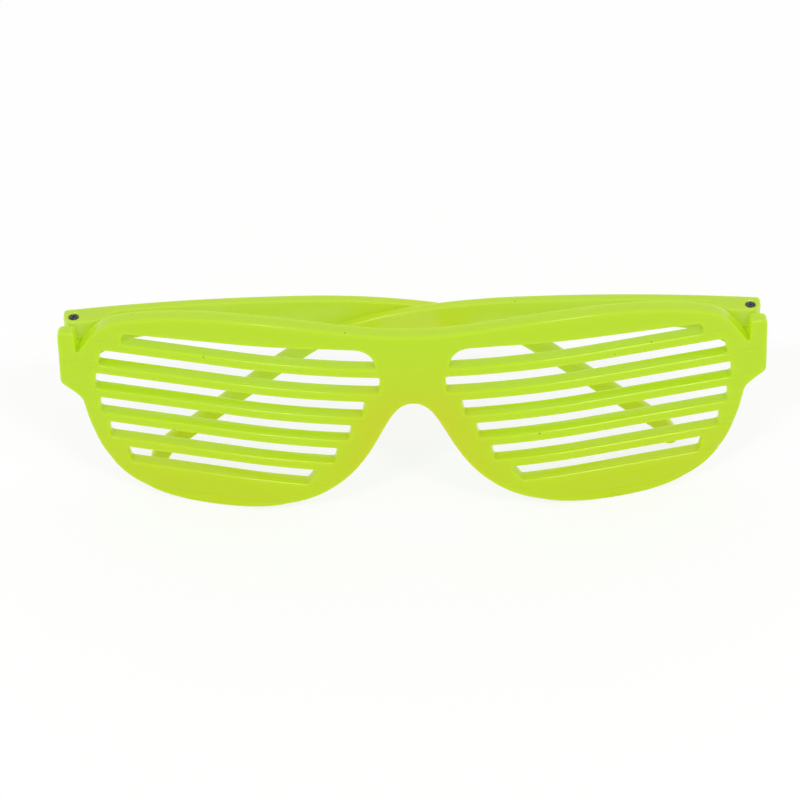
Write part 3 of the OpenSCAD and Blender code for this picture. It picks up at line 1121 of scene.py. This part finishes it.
def cut_hinge(piece):
    low = (-CUT_PAST, -CUT_PAST, LOWER_LEAF_TOP)
    carve(piece, box(low, (WEB_START, CUT_PAST, UPPER_LEAF_Z)))
    bore, recess, rim = SHANK_R + RUNNING_GAP, HEAD_R + HEAD_GAP, RECESS_RIM
    recess_z = TEMPLE_TOP - HEAD_SINK - HEAD_H - HEAD_GAP
    profile = [(bore, LOWER_LEAF_Z - 1), (bore, recess_z), (recess, recess_z)]
    profile += [(recess, TEMPLE_TOP - rim), (recess + 2 * rim, TEMPLE_TOP + rim)]
    carve(piece, spun(profile))


print(f"fork gap: {UPPER_LEAF_Z - LOWER_LEAF_TOP:.1f} mm")


# %% [markdown]
# ## Making the temples
#
# Both temples come from the same outline. Each is made along +X with its hinge axis on Z, and is
# then mirrored if it is the left one, turned to its folded place, and moved to its hinge. The left
# temple was folded first, so it lies closer to the front, and the right one lies behind it.

# %% Make the temples
LEFT_TUCK, RIGHT_LIFT = radians(1.26), radians(0.66)
END_COLUMNS, ARM_START, ARM_STOP, GRID_LOW = (-1.89, -1.8, -1.65, -1.5), 12, 125, -30
TEMPLE_EDGE = (0.4, 0.4)


def temple_grid():
    along = [*END_COLUMNS, *hinge_columns, *np.arange(ARM_START, ARM_STOP, TEMPLE_GAP)]
    return [(s, z) for s in along for z in np.arange(GRID_LOW, TEMPLE_TOP, TEMPLE_GAP)]


def make_temple(name, side, fold):
    bm = bmesh.new()
    plate(bm, [temple_outline()], 0, ARM_T, TEMPLE_EDGE, upright, temple_grid())
    piece = new_piece(name, bm)
    send_through(piece, flare_temple, temple_sizes)
    cut_hinge(piece)
    place = Matrix.Translation((side * PIN_X * MM, PIN_Y * MM, 0))
    place = place @ Matrix.Rotation(side * -fold, 4, "Z")
    if side > 0:
        place = place @ Matrix.Scale(-1, 4, (1, 0, 0))
    bm = bmesh.new()
    bm.from_mesh(piece.data)
    bm.transform(place)
    bmesh.ops.recalc_face_normals(bm, faces=bm.faces)
    bm.to_mesh(piece.data)
    bm.free()
    return piece


for name, side, fold in (("left_arm", 1, -LEFT_TUCK), ("right_arm", -1, RIGHT_LIFT)):
    arm = make_temple(name, side, fold)
    temple = name.replace("arm", "temple")
    # Painted light goes on the temple's faces that look forward when folded, which lie in shade.
    mark_facing(arm.data, (0, -1, 0))
    finish_piece(arm, thin_plastic, temple, temple)

# %% [markdown]
# ## The hinge screws
#
# A screw is round, so its profile is spun about its axis. The cross in its head is cut with a
# Boolean, and a Geometry Nodes tree winds the thread into the plain shank: a point moves inwards by
# its height above the turn of the helix below it.

# %% Write the thread's rule as a tree
TIP_UP = 0.5
THREAD_PITCH, THREAD_DEPTH, THREAD_END = 0.35, 0.1, 0.3
CORE_SHARE = 0.6
HEAD_TOP = TEMPLE_TOP - HEAD_SINK
SHANK_TOP = HEAD_TOP - HEAD_H
SHANK_LOW = LOWER_LEAF_Z + TIP_UP


def thread_rule(tree, x, y, z, size):
    radius = (x * x + y * y).math("SQRT")
    turn = y.math("ARCTAN2", x) / (2 * pi)
    part = (z / size["Pitch"] - turn).math("FLOORED_MODULO", 1.0)
    groove = abs(2.0 * part - 1.0)
    on_side = radius.math("GREATER_THAN", size["Core radius"])
    below = z.math("LESS_THAN", size["Thread top"])
    share = 1.0 - on_side * below * groove * size["Depth"] / size["Shank radius"]
    return x * share, y * share, z


thread_sizes = {
    "Pitch": THREAD_PITCH * MM,
    "Depth": THREAD_DEPTH * MM,
    "Shank radius": SHANK_R * MM,
    "Core radius": CORE_SHARE * SHANK_R * MM,
    "Thread top": (SHANK_TOP - THREAD_END) * MM,
}
cut_thread = shaping_tree("cut_thread", thread_sizes, thread_rule, black_steel)
print("thread tree:", len(cut_thread.nodes), "nodes")

# %% Make the screws
POINT = ((0.3, 0), (0.45, 0.15))
TAPER_H, THREAD_ROW, NECK_H = 0.35, 0.07, 0.02
HEAD_CHAMFER, HEAD_EDGE, HEAD_DOME = 0.1, 0.16, 0.2
CROWN = ((0.6, 0.015), (0.3, 0.002))
CROSS_W, CROSS_L, CROSS_D = 0.32, 1.4, 0.45
FULL_BEND = radians(60)


def screw_profile():
    """The (radius, height) points of a screw, from its point to the crown of its head."""
    profile = [(radius, SHANK_LOW + up) for radius, up in POINT]
    rows = np.arange(SHANK_LOW + TAPER_H, SHANK_TOP, THREAD_ROW)
    profile += [(SHANK_R, z) for z in rows]
    profile += [(SHANK_R, SHANK_TOP - NECK_H), (HEAD_R - HEAD_CHAMFER, SHANK_TOP)]
    dome = HEAD_TOP - HEAD_DOME
    profile += [(HEAD_R, SHANK_TOP + HEAD_CHAMFER), (HEAD_R, dome)]
    for i in range(1, ROUND_STEPS + 1):
        g = pi / 2 * i / ROUND_STEPS
        profile.append((HEAD_R - HEAD_EDGE * (1 - cos(g)), dome + HEAD_EDGE * sin(g)))
    return profile + [(radius, HEAD_TOP - down) for radius, down in CROWN]


def make_screw(name, side, turn):
    piece = new_piece(name, spun(screw_profile()))
    for length, width in ((CROSS_L, CROSS_W), (CROSS_W, CROSS_L)):
        half = np.array((length, width)) / 2
        carve(piece, box((*-half, HEAD_TOP - CROSS_D), (*half, HEAD_TOP + 1)))
    send_through(piece, cut_thread, thread_sizes)
    place = Matrix.Translation((side * PIN_X * MM, PIN_Y * MM, 0))
    piece.data.transform(place @ Matrix.Rotation(turn, 4, "Z"))
    return piece


for name, side, turn in (("left_screw", 1, 0.5), ("right_screw", -1, 0.2)):
    screw = make_screw(name, side, turn)
    node = name.replace("screw", "hinge_screw")
    mark_edges(screw.data, FULL_BEND)
    finish_piece(screw, black_steel, node, "front")

# %% [markdown]
# ## The table and the light
#
# The photograph has a plain white ground and soft, even light from all round. To the camera, the
# floor is mostly plain white, with just enough paper in it to take a faint shadow of the glasses.
# Two lamps stand above the camera, to its left and right. They draw the fine bright lines along the
# rounded edges of the brow and the slats.

# %% Make the floor
FLOOR_Z, FLOOR_SIZE = -RIM_DROP * MM, 2.0
PAPER, WHITE_SHARE = srgb(250, 250, 250), 0.75


def make_floor():
    bm = bmesh.new()
    bmesh.ops.create_grid(bm, x_segments=1, y_segments=1, size=FLOOR_SIZE)
    bmesh.ops.translate(bm, verts=bm.verts, vec=(0, 0, FLOOR_Z))
    piece = new_piece("floor", bm)
    material, tree = new_material("white_floor")
    paper = tree.add("ShaderNodeBsdfDiffuse", values={"Color": PAPER})
    white = tree.add("ShaderNodeEmission", values={"Strength": 1.0})
    seen = tree.add("ShaderNodeLightPath", output="Is Camera Ray")
    values = {0: WHITE_SHARE * seen, 1: paper, 2: white}
    finish_with(tree, tree.add("ShaderNodeMixShader", values=values))
    piece.data.materials.append(material)


make_floor()
print(f"floor at z {FLOOR_Z:.4f} m")


# %% Set the light
LAMP_SIZE, LAMP_POWER = (0.3, 0.15), 5
LAMPS = {"left_lamp": (-0.55, -1.03, 1.3), "right_lamp": (0.64, -0.98, 1.3)}


def add_lamp(name, place):
    """A lamp that looks from its place at the origin."""
    lamp = bpy.data.lights.new(name, "AREA")
    lamp.shape = "RECTANGLE"
    lamp.size, lamp.size_y = LAMP_SIZE
    lamp.energy = LAMP_POWER
    holder = bpy.data.objects.new(name, lamp)
    bpy.context.scene.collection.objects.link(holder)
    spin = (-Vector(place)).to_track_quat("-Z", "Y").to_matrix().to_4x4()
    holder.matrix_world = Matrix.Translation(place) @ spin


for name, place in LAMPS.items():
    add_lamp(name, place)

world = bpy.data.worlds.new("studio")
world.use_nodes = True
world.node_tree.nodes.clear()
tree = Tree(world.node_tree)
sky = tree.add("ShaderNodeBackground", values={"Strength": 1.0})
output = world.node_tree.nodes.new("ShaderNodeOutputWorld")
world.node_tree.links.new(sky.socket, output.inputs["Surface"])
bpy.context.scene.world = world
bpy.context.scene.view_settings.view_transform = "Standard"
print(len(LAMPS), "lamps of", LAMP_POWER, "W and an even sky")
